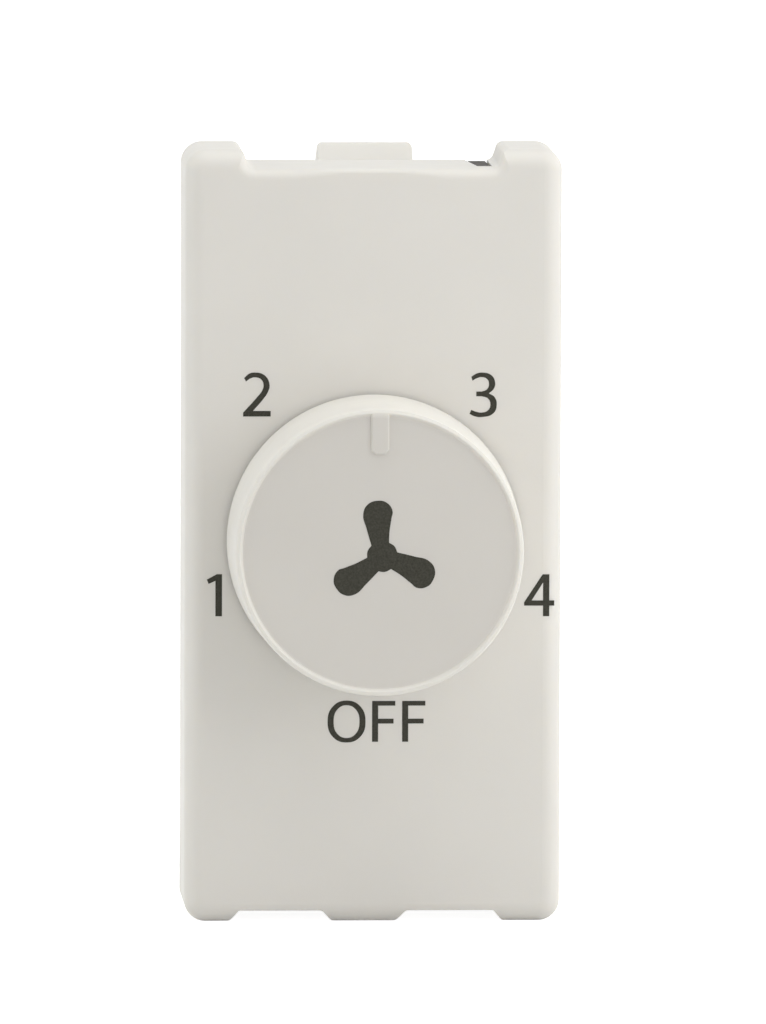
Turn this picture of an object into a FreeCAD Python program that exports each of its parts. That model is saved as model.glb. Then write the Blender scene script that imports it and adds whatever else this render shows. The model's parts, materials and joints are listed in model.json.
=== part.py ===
import FreeCAD, Part
import math
import os

from FreeCAD import Vector

# One-module rotary fan speed switch. Millimetres, +Z up, the knob faces -Y.
# The origin is on the knob's axis, in the plane where the front cover sits on the mounting frame.

# Front cover
cover_width = 22.4
cover_height = 44.25
cover_front_wall = 1.8
cover_side_wall = 1.6
cover_corner_radius = 1.25
cover_edge_radius = 1.1
side_rim_recess = 0.4
end_pad_height = 3.9
ear_rise_top = 1.13
ear_rise_bottom = 0.7
ear_slant_top = 0.37
ear_slant_bottom = 0.58
ear_width_top_left = 3.77
ear_width_top_right = 3.82
ear_width_bottom_left = 3.25
ear_width_bottom_right = 4.0
ear_tip_radius = 0.45
notch_corner_radius = 0.5
notch_rounding_ends = 0.65
notch_rounding_middle = 0.28
notch_wave_width = 9.0
notch_wave_flat = 3.6
lower_lug_width = 5.0
lower_lug_centre = -0.5
lower_lug_slant = 0.62
lower_lug_radius = 0.35
key_slot_depth = 5.4
key_slot_width = 1.04
key_tip_width = 0.62
key_clearance = 0.12
key_ear_space = 0.39
key_drop = 0.05
hub_radius = 4.6
hub_length = 1.0
clamp_post_size = 2.0
cover_rib_width = 0.9
cover_rib_height = 1.0
cover_rib_pitch = 6.4

# Snap arms on the cover's sides and the catches that they ride over
snap_arm_inset = 0.45
snap_arm_thickness = 0.9
snap_arm_clearance = 0.1
snap_arm_width = 6.0
snap_arm_length = 6.4
snap_arm_bar = 1.1
snap_window_width = 3.6
snap_window_length = 2.4
snap_catch_rise = 0.75
snap_catch_clearance = 0.15

# Rear housing. Its flange drops into the frame's opening, and its latch and hook stand behind the frame.
housing_wall = 1.6
housing_step = 2.2
housing_corner_radius = 1.2
housing_edge_chamfer = 0.6
flange_thickness = 1.4
flange_side_clearance = 0.2
flange_end_clearance = 0.2
frame_thickness = 2.1
board_ledge_height = 0.9
housing_rib_width = 1.0
housing_rib_height = 0.35
housing_rib_pitch = 5.0

# Upper latch and lower hook of the housing
latch_width = 5.65
latch_centre = -0.03
latch_arm_thickness = 1.0
latch_flex_space = 1.1
latch_arm_length = 11.5
latch_root_length = 2.0
latch_tip_rise = 2.59
latch_tip_flat = 0.8
latch_tip_chamfer = 1.05
latch_ramp_length = 5.5
latch_side_radius = 0.3
hook_width = 8.0
hook_reach = 1.2
hook_flat = 1.4
hook_ramp_length = 2.4

# Knob
knob_radius_back = 8.74
knob_radius_front = 8.51
knob_height = 7.5
knob_lift = 0.3
knob_front_rounding = 0.22
knob_rim_width = 0.05
knob_face_drop = 0.16
knob_cap_thickness = 1.2
knob_wall = 1.3
knob_socket_radius = 4.3
knob_rib_count = 6
knob_rib_thickness = 0.9
knob_rib_setback = 0.8
pointer_width = 1.1
pointer_length = 2.46
pointer_edge_chamfer = 0.1
pointer_end_chamfer = 0.25

# Rotor: shaft with a flat, detent cam and rear pivot
shaft_radius = 3.0
shaft_flat_depth = 0.8
shaft_clearance = 0.05
socket_clearance = 0.03
flat_space = 0.35
cam_radius = 6.05
cam_thickness = 1.45
cam_notch_radius = 1.6
cam_notch_offset = 1.05
step_count = 5
step_angle = 72.0
pivot_radius = 1.5
washer_thickness = 0.4
washer_width = 1.4
axial_play = 0.05

# Knob clip in the socket, on the shaft's flat
clip_width = 3.0
clip_length = 4.8
clip_thickness = 0.2
clip_bow = 0.12

# Detent leaf, riding on the cam from above
leaf_thickness = 0.3
leaf_width = 1.3
leaf_end_space = 0.5
leaf_bump_radius = 1.45
leaf_rest_space = 0.1
leaf_slot_clearance = 0.05
leaf_post_width = 1.0
leaf_post_height = 1.8

# Contact base: moulded tray that carries the fixed contacts
tray_floor = 1.6
tray_depth = 3.5
tray_wall = 1.1
tray_clearance = 0.1
tray_post_size = 1.5
tray_post_inset = 1.0

# Contacts, each with a flat tab through the tray and the board
pad_thickness = 0.4
pad_width = 1.8
pad_edge_space = 1.1
pad_half_angle = 14.0
common_width = 1.1
common_space = 0.75
tab_width = 1.2
tab_tail = 0.5
tab_clearance = 0.05
wiper_thickness = 0.3
wiper_space = 0.9
wiper_hub_radius = 2.9
wiper_arm_width = 1.8
wiper_tip_length = 1.0
wiper_gap = 0.05

# Circuit board and what it carries
board_thickness = 1.6
board_clearance = 0.15
board_stand_off = 2.0
lead_clearance = 0.1
large_capacitor_height = 12.0
capacitor_side_space = 0.4
capacitor_rear_space = 3.2
capacitor_length_step = 2.0
capacitor_stand_off = 0.6
capacitor_spacing = 0.4
capacitor_block_space = 0.8
capacitor_ledge_space = 0.1
capacitor_edge_chamfer = 0.5
capacitor_tab_width = 0.8
capacitor_tab_thickness = 0.4
capacitor_tab_inset = 0.6
series_resistor_radius = 1.3
series_resistor_length = 8.0
series_resistor_chamfer = 0.3
series_resistor_lead_pitch = 11.2
series_resistor_lead_size = 0.6
series_resistor_lift = 0.3
series_resistor_inset = 2.25
series_resistor_spacing = 2.7
bleed_resistor_length = 3.2
bleed_resistor_width = 1.6
bleed_resistor_height = 0.6
bleed_resistor_cap = 0.5
bleed_resistor_cap_rise = 0.05
bleed_resistor_upper_inset = 3.75
bleed_resistor_busbar_space = 2.4

# Terminals
pocket_side_wall = 0.45
pocket_middle_wall = 2.1
pocket_floor = 0.35
block_roof = 1.1
barrier_distance = 6.4
barrier_thickness = 0.6
cage_height = 6.0
cage_wall = 1.0
cage_thread_wall = 2.0
cage_window_length = 5.2
cage_clearance = 0.15
cage_front_space = 0.4
cage_travel = 2.9
cage_head_space = 1.0
busbar_rise = 1.2
busbar_thickness = 0.8
busbar_tail_width = 2.0
busbar_clearance = 0.2
wire_space = 3.4
wire_hole_radius = 1.65
screw_radius = 1.45
screw_thread_clearance = 0.05
screw_head_radius = 2.3
screw_head_height = 1.6
screw_head_space = 0.1
screw_slot_width = 0.7
screw_slot_depth = 0.8
driver_hole_radius = 2.0

# Lengths along Y that are stacks of others
rotor_stack = hub_length + washer_thickness + axial_play + cam_thickness + wiper_space
cover_depth = cover_front_wall + rotor_stack + pad_thickness + tray_floor + side_rim_recess
cage_length = cage_wall + cage_window_length + cage_thread_wall
screw_head_room = cage_head_space + screw_head_height + screw_head_space
terminal_block_length = cage_front_space + cage_length + cage_travel + screw_head_room

# Planes along Y
front_face = -cover_depth
cover_inside = front_face + cover_front_wall
rim_plane = -side_rim_recess
tray_back = rim_plane
tray_front = tray_back - tray_floor
board_front = tray_back + board_stand_off
board_back = board_front + board_thickness
barrier_front = board_back + barrier_distance
block_front = barrier_front + barrier_thickness
housing_inside = block_front + terminal_block_length
housing_depth = housing_inside + housing_wall
hub_end = cover_inside + hub_length
cam_front = hub_end + washer_thickness + axial_play
cam_back = cam_front + cam_thickness
wiper_tip = tray_front - pad_thickness - wiper_gap
knob_back = front_face - knob_lift
knob_front = knob_back - knob_height
knob_face = knob_front + knob_face_drop
socket_floor = knob_face + knob_cap_thickness
shaft_end = socket_floor + axial_play
tail_front = board_front - tab_tail
tail_back = board_back + tab_tail
capacitor_front = board_back + capacitor_stand_off
large_capacitor_back = housing_inside - capacitor_rear_space
small_capacitor_back = large_capacitor_back - capacitor_length_step
cage_front = block_front + cage_front_space
cage_window_front = cage_front + cage_wall
tongue_front = cage_window_front + wire_space
tongue_back = tongue_front + busbar_thickness
cage_window_back = cage_window_front + cage_window_length
cage_back = cage_front + cage_length
wire_axis = cage_window_front + wire_space / 2
head_back = housing_inside - screw_head_space
head_front = head_back - screw_head_height
screw_tip = tongue_back + axial_play

# Planes and lines across
cover_half = cover_width / 2
notch_floor = cover_height / 2
cavity_half_width = cover_half - cover_side_wall
cavity_half_height = notch_floor - cover_side_wall
snap_arm_outer = cover_half - snap_arm_inset
snap_arm_inner = snap_arm_outer - snap_arm_thickness
snap_arm_place = notch_floor - end_pad_height - snap_arm_width
flange_half_width = cavity_half_width - flange_side_clearance
flange_half_height = cavity_half_height - flange_end_clearance
housing_half_width = snap_arm_inner - snap_arm_clearance
housing_half_height = flange_half_height - housing_step
inside_half_width = housing_half_width - housing_wall
inside_half_height = housing_half_height - housing_wall
latch_tip_height = flange_half_height + latch_tip_rise
tray_half_width = cavity_half_width - tray_clearance
tray_half_height = cavity_half_height - tray_clearance
tray_inner_half_width = tray_half_width - tray_wall
tray_inner_half_height = tray_half_height - tray_wall
key_right = cover_half - ear_width_top_right - key_ear_space
shaft_flat = shaft_radius - shaft_flat_depth
leaf_middle = cam_radius + leaf_rest_space + leaf_bump_radius
leaf_half_length = tray_inner_half_width - leaf_end_space
pad_outer_radius = tray_inner_half_width - pad_edge_space
pad_inner_radius = pad_outer_radius - pad_width
pad_middle_radius = (pad_inner_radius + pad_outer_radius) / 2
common_outer_radius = pad_inner_radius - common_space
common_inner_radius = common_outer_radius - common_width
common_middle_radius = (common_inner_radius + common_outer_radius) / 2
board_half_width = inside_half_width - board_clearance
board_half_height = inside_half_height - board_clearance
cage_width = inside_half_width - pocket_side_wall - pocket_middle_wall / 2 - 2 * cage_clearance
terminal_offset = pocket_middle_wall / 2 + cage_clearance + cage_width / 2
terminal_height = -inside_half_height + pocket_floor + cage_clearance + cage_height / 2
cage_bottom = terminal_height - cage_height / 2
cage_top = terminal_height + cage_height / 2
busbar_width = cage_width - 2 * cage_wall - 2 * busbar_clearance
busbar_top = cage_top + busbar_rise
busbar_low = busbar_top - busbar_thickness
terminal_block_top = busbar_top + block_roof
capacitor_half_width = inside_half_width - capacitor_side_space
capacitor_tab_offset = capacitor_half_width - capacitor_tab_inset
large_capacitor_top = inside_half_height - board_ledge_height - capacitor_ledge_space
large_capacitor_bottom = large_capacitor_top - large_capacitor_height
small_capacitor_top = large_capacitor_bottom - capacitor_spacing
small_capacitor_bottom = terminal_block_top + capacitor_block_space
series_resistor_lower = -board_half_height + series_resistor_inset
series_resistor_upper = series_resistor_lower + series_resistor_spacing
bleed_resistor_upper = board_half_height - bleed_resistor_upper_inset
bleed_resistor_lower = busbar_top + bleed_resistor_busbar_space
past = 1.0

Y_AXIS = Vector(0, 1, 0)


def box(x_low, x_high, y_low, y_high, z_low, z_high):
    """A block between two corners."""
    corner = Vector(x_low, y_low, z_low)
    return Part.makeBox(x_high - x_low, y_high - y_low, z_high - z_low, corner)


def box_between(x_one, x_other, y_low, y_high, z_one, z_other):
    """A block between two corners whose sides across may come in either order."""
    x_low, x_high = sorted((x_one, x_other))
    z_low, z_high = sorted((z_one, z_other))
    return box(x_low, x_high, y_low, y_high, z_low, z_high)


def centred_box(half_width, y_low, y_high, half_height):
    """A block centred on the knob's axis."""
    return box(-half_width, half_width, y_low, y_high, -half_height, half_height)


def rod(radius, y_low, y_high, x=0.0, z=0.0):
    """A round bar along Y."""
    return Part.makeCylinder(radius, y_high - y_low, Vector(x, y_low, z), Y_AXIS)


def ring(inner, outer, y_low, y_high):
    """A flat ring round the knob's axis."""
    return rod(outer, y_low, y_high).cut(rod(inner, y_low - past, y_high + past))


def front_point(across, up, y=0.0):
    """A point of an outline drawn in the front plane."""
    return Vector(across, y, up)


def side_point(depth, up, x=0.0):
    """A point of an outline drawn in the side plane."""
    return Vector(x, depth, up)


def rounded_wire(corners, radii):
    """A closed outline through corners, each rounded by its own radius."""
    count = len(corners)
    starts = []
    middles = []
    ends = []
    for i in range(count):
        corner = corners[i]
        back = (corners[i - 1] - corner).normalize()
        ahead = (corners[(i + 1) % count] - corner).normalize()
        half_angle = back.getAngle(ahead) / 2
        inward = (back + ahead).normalize()
        reach = radii[i] / math.tan(half_angle)
        centre = corner + inward * (radii[i] / math.sin(half_angle))
        starts.append(corner + back * reach)
        middles.append(centre - inward * radii[i])
        ends.append(corner + ahead * reach)
    edges = []
    for i in range(count):
        if radii[i] > 0:
            edges.append(Part.Arc(starts[i], middles[i], ends[i]).toShape())
        edges.append(Part.LineSegment(ends[i], starts[(i + 1) % count]).toShape())
    return Part.Wire(edges)


def prism(corners, direction, radii=None):
    """A straight extrusion of a closed outline."""
    if radii is None:
        wire = Part.makePolygon(corners + corners[:1])
    else:
        wire = rounded_wire(corners, radii)
    return Part.Face(wire).extrude(direction)


def fuse(first, others):
    """One solid from a solid and those that grow out of it."""
    return first.multiFuse(others).removeSplitter()


def edges_where(shape, test):
    """The edges of a shape whose two ends both pass a test."""
    return [edge for edge in shape.Edges if all(test(vertex.Point) for vertex in edge.Vertexes)]


def edges_along_y(shape, length):
    """The straight edges that run at least a length along Y."""
    found = []
    for edge in shape.Edges:
        ends = [vertex.Point for vertex in edge.Vertexes]
        straight = edge.Curve.TypeId == "Part::GeomLine"
        if straight and abs(ends[0].y - ends[1].y) >= length:
            found.append(edge)
    return found


def turned(shape, degrees):
    """A copy turned clockwise, seen from the front, about the knob's axis."""
    copy = shape.copy()
    copy.rotate(Vector(0, 0, 0), Y_AXIS, degrees)
    return copy


def save(name, shape):
    """Write one piece and stop if it isn't sound."""
    if not shape.isValid():
        raise ValueError(name + " isn't a valid shape")
    shape.exportStep("parts/" + name + ".step")
    print(name, len(shape.Solids), "solid", round(shape.Volume, 2), "mm3", len(shape.Faces), "faces")


def cover_outline_prism():
    """The front cover's outline with its ears, notches and lower lug, through the whole depth."""
    top = notch_floor + ear_rise_top
    bottom = -notch_floor - ear_rise_bottom
    top_left = -cover_half + ear_width_top_left
    top_right = cover_half - ear_width_top_right
    bottom_left = -cover_half + ear_width_bottom_left
    bottom_right = cover_half - ear_width_bottom_right
    lug_left = lower_lug_centre - lower_lug_width / 2
    lug_right = lower_lug_centre + lower_lug_width / 2
    outline = [
        (-cover_half, top, 0),
        (top_left - ear_slant_top, top, ear_tip_radius),
        (top_left, notch_floor, notch_corner_radius),
        (top_right, notch_floor, notch_corner_radius),
        (top_right + ear_slant_top, top, ear_tip_radius),
        (cover_half, top, 0),
        (cover_half, bottom, 0),
        (bottom_right + ear_slant_bottom, bottom, lower_lug_radius),
        (bottom_right, -notch_floor, lower_lug_radius / 2),
        (lug_right, -notch_floor, lower_lug_radius),
        (lug_right - lower_lug_slant, bottom, lower_lug_radius),
        (lug_left + lower_lug_slant, bottom, lower_lug_radius),
        (lug_left, -notch_floor, lower_lug_radius),
        (bottom_left, -notch_floor, lower_lug_radius / 2),
        (bottom_left - ear_slant_bottom, bottom, lower_lug_radius),
        (-cover_half, bottom, 0),
    ]
    corners = [front_point(across, up, front_face) for across, up, radius in outline]
    radii = [radius for across, up, radius in outline]
    return prism(corners, Vector(0, cover_depth, 0), radii)


def rounding_section(edge_point, outward, radius, air=past):
    """What a rounding of that radius takes off a square front edge, with some air outside."""
    front_tangent = edge_point - outward * radius
    wall_tangent = edge_point + Y_AXIS * radius
    bend = edge_point - outward * radius * (1 - math.sqrt(0.5)) + Y_AXIS * radius * (1 - math.sqrt(0.5))
    outer_wall = wall_tangent + outward * air
    outer_front = edge_point + outward * air - Y_AXIS * past
    front_air = front_tangent - Y_AXIS * past
    arc = Part.Arc(front_tangent, bend, wall_tangent).toShape()
    rest = Part.makePolygon([wall_tangent, outer_wall, outer_front, front_air, front_tangent])
    return Part.Wire([arc] + rest.Edges)


def notch_corner_rounding(foot, side):
    """The same rounding from the notch's wave, round its inner corner and up the ear's side."""
    along = Vector(-side * ear_slant_top, 0, ear_rise_top).normalize()
    across = Vector(side, 0, 0)
    corner = front_point(foot, notch_floor, front_face)
    half_angle = along.getAngle(across) / 2
    inward = (along + across).normalize()
    reach = notch_corner_radius / math.tan(half_angle)
    bend = corner + inward * (notch_corner_radius / math.sin(half_angle) - notch_corner_radius)
    start = front_point(latch_centre - side * notch_wave_width / 2, notch_floor, front_face)
    path = Part.Wire([
        Part.LineSegment(start, corner + across * reach).toShape(),
        Part.Arc(corner + across * reach, bend, corner + along * reach).toShape(),
        Part.LineSegment(corner + along * reach, corner + along * (ear_rise_top + past)).toShape(),
    ])
    section = rounding_section(start, Vector(0, 0, 1), notch_rounding_ends, notch_corner_radius / 2)
    return path.makePipeShell([section], True, False)


def top_notch_rounding():
    """The soft front edge of the top notch: small in the middle, larger towards the ears."""
    up = Vector(0, 0, 1)
    left = -cover_half + ear_width_top_left
    right = cover_half - ear_width_top_right
    middle = latch_centre
    stations = [
        (middle - notch_wave_width / 2, notch_rounding_ends),
        (middle - notch_wave_flat / 2, notch_rounding_middle),
        (middle + notch_wave_flat / 2, notch_rounding_middle),
        (middle + notch_wave_width / 2, notch_rounding_ends),
    ]
    sections = []
    for across, radius in stations:
        sections.append(rounding_section(front_point(across, notch_floor, front_face), up, radius))
    tools = []
    for first, second in zip(sections[:-1], sections[1:]):
        tools.append(Part.makeLoft([first, second], True, True))
    tools.append(notch_corner_rounding(left, 1))
    tools.append(notch_corner_rounding(right, -1))
    return tools


def key_wedge(clearance, y_back, z_low, z_high):
    """The key's wedge seen from above: deep at its right side, nothing at its left."""
    right = key_right + clearance
    left = key_right - key_slot_width - 1.5 * clearance
    tip_left = key_right - key_tip_width - clearance
    front = -key_slot_depth - clearance
    corners = [
        Vector(right, 0, z_low),
        Vector(right, front, z_low),
        Vector(tip_left, front, z_low),
        Vector(left, 0, z_low),
    ]
    wedge = prism(corners, Vector(0, 0, z_high - z_low))
    return wedge.common(box(left - past, right + past, front - past, y_back, z_low, z_high))


def snap_arm(side, height):
    """One arm of the cover, with the window that drops over the housing's catch."""
    x_low, x_high = sorted((side * snap_arm_inner, side * snap_arm_outer))
    end = rim_plane + snap_arm_length
    low = height - snap_arm_width / 2
    high = height + snap_arm_width / 2
    arm = box(x_low, x_high, rim_plane - past, end, low, high)
    corners = edges_where(arm, lambda p: abs(p.y - end) < 0.01)
    corners = [edge for edge in corners if abs(edge.Vertexes[0].X - edge.Vertexes[1].X) > 0.1]
    arm = arm.makeFillet(snap_arm_bar / 2, corners)
    window_back = end - snap_arm_bar
    half = snap_window_width / 2
    window_front = window_back - snap_window_length
    window = box(x_low - past, x_high + past, window_front, window_back, height - half, height + half)
    return arm.cut(window)


def front_cover():
    """The moulded front block: ears, notches, lower lug, hub for the shaft, ribs and four snap arms."""
    top = notch_floor + ear_rise_top
    bottom = -notch_floor - ear_rise_bottom
    block = box(-cover_half, cover_half, front_face, 0, bottom, top)
    block = block.makeFillet(cover_corner_radius, edges_along_y(block, cover_depth))
    block = block.makeFillet(cover_edge_radius, edges_where(block, lambda p: abs(p.y - front_face) < 0.001))
    cover = block.common(cover_outline_prism())
    for tool in top_notch_rounding():
        cover = cover.cut(tool)
    cavity = centred_box(cavity_half_width, cover_inside, past, cavity_half_height)
    cover = cover.cut(cavity)
    cover = cover.cut(centred_box(cover_half + past, rim_plane, past, notch_floor - end_pad_height))
    in_wall = cover_inside - past / 2
    rib_half_length = cavity_half_width + past / 2
    grown = [rod(hub_radius, in_wall, hub_end)]
    for side in (-1, 1):
        for end in (-1, 1):
            x_inner = side * (cavity_half_width - clamp_post_size)
            x_outer = side * rib_half_length
            z_inner = end * (cavity_half_height - clamp_post_size)
            z_outer = end * (cavity_half_height + past / 2)
            grown.append(box_between(x_inner, x_outer, in_wall, tray_back - tray_depth, z_inner, z_outer))
            grown.append(snap_arm(side, end * snap_arm_place))
    for side in (-1, 1):
        for step in (-1, 0, 1):
            up = side * (hub_radius + cover_rib_pitch) + step * cover_rib_pitch / 2
            rib = centred_box(rib_half_length, in_wall, cover_inside + cover_rib_height, cover_rib_width / 2)
            rib.translate(Vector(0, 0, up))
            grown.append(rib)
    cover = fuse(cover, grown)
    cover = cover.cut(rod(shaft_radius + shaft_clearance, front_face - past, hub_end + past))
    slot = key_wedge(key_clearance, 0, cavity_half_height - past, notch_floor + past)
    return cover.cut(slot)


def latch():
    """The upper spring arm of the housing, with the tip that catches behind the frame."""
    arm_low = housing_half_height + latch_flex_space
    arm_high = arm_low + latch_arm_thickness
    tip = frame_thickness
    root_back = tip + latch_arm_length + latch_root_length
    root_front = tip + latch_arm_length
    below = housing_half_height - housing_wall / 2
    left = latch_centre - latch_width / 2
    outline = [
        (tip, arm_low, 0.2),
        (tip, latch_tip_height - latch_tip_chamfer, 0.15),
        (tip + latch_tip_chamfer, latch_tip_height, 0.2),
        (tip + latch_tip_chamfer + latch_tip_flat, latch_tip_height, 0.3),
        (tip + latch_tip_chamfer + latch_tip_flat + latch_ramp_length, arm_high, 1.0),
        (root_back, arm_high, 0.6),
        (root_back, below, 0),
        (root_front, below, 0),
        (root_front, arm_low, 0.4),
    ]
    corners = [side_point(depth, up, left) for depth, up, radius in outline]
    radii = [radius for depth, up, radius in outline]
    body = prism(corners, Vector(latch_width, 0, 0), radii)
    right = left + latch_width
    front_view = [
        front_point(left, below),
        front_point(left, latch_tip_height),
        front_point(right, latch_tip_height),
        front_point(right, below),
    ]
    return body.common(prism(front_view, Y_AXIS * root_back, [0, latch_side_radius, latch_side_radius, 0]))


def lower_hook():
    """The fixed hook under the housing."""
    top = -housing_half_height + housing_wall / 2
    bottom = -flange_half_height - hook_reach
    left = lower_lug_centre - hook_width / 2
    front = frame_thickness
    outline = [
        (front, top, 0),
        (front, bottom, 0.3),
        (front + hook_flat, bottom, 0.6),
        (front + hook_flat + hook_ramp_length, -housing_half_height, 0.6),
        (front + hook_flat + 2 * hook_ramp_length, -housing_half_height, 0),
        (front + hook_flat + 2 * hook_ramp_length, top, 0),
    ]
    corners = [side_point(depth, up, left) for depth, up, radius in outline]
    radii = [radius for depth, up, radius in outline]
    return prism(corners, Vector(hook_width, 0, 0), radii)


def snap_catch(side, height):
    """A ramped catch on the housing's side, as high as the arm's window lets it."""
    window_back = rim_plane + snap_arm_length - snap_arm_bar
    back = window_back - snap_catch_clearance
    front = window_back - snap_window_length + snap_catch_clearance
    half = snap_window_width / 2 - snap_catch_clearance
    wall = side * housing_half_width
    corners = [
        Vector(wall - side * housing_wall / 2, front, height - half),
        Vector(wall, front, height - half),
        Vector(wall + side * snap_catch_rise, back - snap_catch_clearance, height - half),
        Vector(wall + side * snap_catch_rise, back, height - half),
        Vector(wall - side * housing_wall / 2, back, height - half),
    ]
    return prism(corners, Vector(0, 0, 2 * half))


def terminal_pockets():
    """The two cage pockets of the terminal block, with their busbar slots, wire holes and driver holes."""
    half_width = cage_width / 2 + cage_clearance
    low = cage_bottom - cage_clearance
    high = cage_top + cage_clearance
    cuts = []
    rear_hole = rod(driver_hole_radius, housing_inside - past, housing_depth + past, 0, terminal_height)
    for side in (-1, 1):
        x = side * terminal_offset
        cuts.append(box(x - half_width, x + half_width, block_front - past, housing_inside, low, high))
        slot_half = busbar_width / 2 + busbar_clearance
        cuts.append(box(x - slot_half, x + slot_half, block_front - past, tongue_back + busbar_clearance,
                        high - past, busbar_top + busbar_clearance))
        wire_start = Vector(x, wire_axis, -housing_half_height - past)
        cuts.append(Part.makeCylinder(wire_hole_radius, low - wire_start.z + past, wire_start))
        cuts.append(rear_hole.translated(Vector(x, 0, 0)))
    return cuts


def rear_housing():
    """The moulded rear box: flange, walls, terminal block, ledges, side ribs, catches, latch and hook."""
    shell = centred_box(housing_half_width, rim_plane, housing_depth, housing_half_height)
    shell = shell.makeFillet(housing_corner_radius, edges_along_y(shell, housing_depth))
    rear_edges = edges_where(shell, lambda p: abs(p.y - housing_depth) < 0.001)
    shell = shell.makeChamfer(housing_edge_chamfer, rear_edges)
    flange = centred_box(flange_half_width, rim_plane, rim_plane + flange_thickness, flange_half_height)
    flange = flange.makeFillet(housing_corner_radius / 2, edges_along_y(flange, flange_thickness))
    grown = [flange, latch(), lower_hook()]
    rib_front = rim_plane + snap_arm_length + past
    rib_back = housing_depth - 2 * housing_edge_chamfer
    rib_half = housing_rib_width / 2
    for side in (-1, 1):
        for end in (-1, 1):
            grown.append(snap_catch(side, end * snap_arm_place))
        for step in (-1, 0, 1):
            up = step * housing_rib_pitch
            x_inner = side * (housing_half_width - housing_wall / 2)
            x_outer = side * (housing_half_width + housing_rib_height)
            grown.append(box_between(x_inner, x_outer, rib_front, rib_back, up - rib_half, up + rib_half))
    housing = fuse(shell, grown)
    inside = centred_box(inside_half_width, rim_plane - past, housing_inside, inside_half_height)
    housing = housing.cut(inside)
    in_wall_x = inside_half_width + housing_wall / 2
    in_wall_z = inside_half_height + housing_wall / 2
    in_wall_y = housing_inside + housing_wall / 2
    ledge = inside_half_height - board_ledge_height
    block = box(-in_wall_x, in_wall_x, block_front, in_wall_y, -in_wall_z, terminal_block_top)
    lower_ledge = box(-in_wall_x, in_wall_x, board_back, block_front + past, -in_wall_z, -ledge)
    upper_ledge = box(-in_wall_x / 2, in_wall_x / 2, board_back, in_wall_y, ledge, in_wall_z)
    housing = fuse(housing, [block, lower_ledge, upper_ledge])
    for cut in terminal_pockets():
        housing = housing.cut(cut)
    return housing


def knob():
    """The moulded knob: drafted skirt, thin raised rim, pointer rib, D-shaped socket and inner ribs."""
    drop = knob_front_rounding
    slope = (knob_radius_back - knob_radius_front) / knob_height
    shoulder = knob_radius_front + slope * drop
    rim_outer = shoulder - drop
    rim_inner = rim_outer - knob_rim_width
    bend = math.sqrt(0.5) * drop
    start = Vector(0, knob_face, 0)
    outline = [
        start,
        Vector(0, knob_back, 0),
        Vector(knob_radius_back, knob_back, 0),
        Vector(shoulder, knob_front + drop, 0),
        Vector(rim_outer + bend, knob_front + drop - bend, 0),
        Vector(rim_outer, knob_front, 0),
        Vector(rim_inner, knob_front, 0),
        Vector(rim_inner - knob_face_drop, knob_face, 0),
        start,
    ]
    profile = Part.Face(Part.makePolygon(outline))
    body = profile.revolve(Vector(0, 0, 0), Y_AXIS, 360)
    hollow_front = socket_floor
    inner_radius = knob_radius_front - knob_wall
    hollow = ring(knob_socket_radius, inner_radius, hollow_front, knob_back + past)
    body = body.cut(hollow)
    ribs = []
    for index in range(knob_rib_count):
        rib = box(knob_socket_radius - past / 2, inner_radius + past / 2, hollow_front - past / 2,
                  knob_back - knob_rib_setback, -knob_rib_thickness / 2, knob_rib_thickness / 2)
        ribs.append(turned(rib, 360 / knob_rib_count * (index + 0.5)))
    pointer_low = rim_inner - pointer_length
    pointer_high = rim_inner + knob_rim_width / 2
    pointer = box(-pointer_width / 2, pointer_width / 2, knob_front, knob_face + past / 2,
                  pointer_low, pointer_high)
    inner_end = edges_where(pointer, lambda p: abs(p.z - pointer_low) < 0.001)
    inner_end = [edge for edge in inner_end if abs(edge.Vertexes[0].Y - edge.Vertexes[1].Y) > 0.01]
    pointer = pointer.makeChamfer(pointer_end_chamfer, inner_end)
    front_edges = edges_where(pointer, lambda p: abs(p.y - knob_front) < 0.001)
    front_edges = [edge for edge in front_edges if min(end.Z for end in edge.Vertexes) < pointer_high - 0.01]
    pointer = pointer.makeChamfer(pointer_edge_chamfer, front_edges)
    body = fuse(body, ribs + [pointer])
    socket = rod(shaft_radius + socket_clearance, socket_floor, knob_back + past)
    beyond_flat = box(-knob_socket_radius, knob_socket_radius, socket_floor - past, knob_back + 2 * past,
                      shaft_flat + flat_space, knob_socket_radius)
    return body.cut(socket.cut(beyond_flat))


def rotor():
    """Shaft with a flat for the knob, cam with a notch for every step, and rear pivot."""
    shaft = rod(shaft_radius, shaft_end, cam_front + past / 2)
    flat_end = front_face - axial_play
    flat = box(-shaft_radius, shaft_radius, shaft_end - past, flat_end, shaft_flat, shaft_radius + past)
    shaft = shaft.cut(flat)
    cam = rod(cam_radius, cam_front, cam_back)
    for index in range(step_count):
        notch = rod(cam_notch_radius, cam_front - past, cam_back + past, 0, cam_radius + cam_notch_offset)
        cam = cam.cut(turned(notch, step_angle * (index + 0.5)))
    pivot = rod(pivot_radius, cam_back - past / 2, tray_back - axial_play)
    return fuse(shaft, [cam, pivot])


def thrust_washer():
    """The low-friction washer between the hub and the cam."""
    inner = shaft_radius + shaft_clearance
    outer = shaft_radius + washer_width
    return ring(inner, outer, hub_end, hub_end + washer_thickness)


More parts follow.
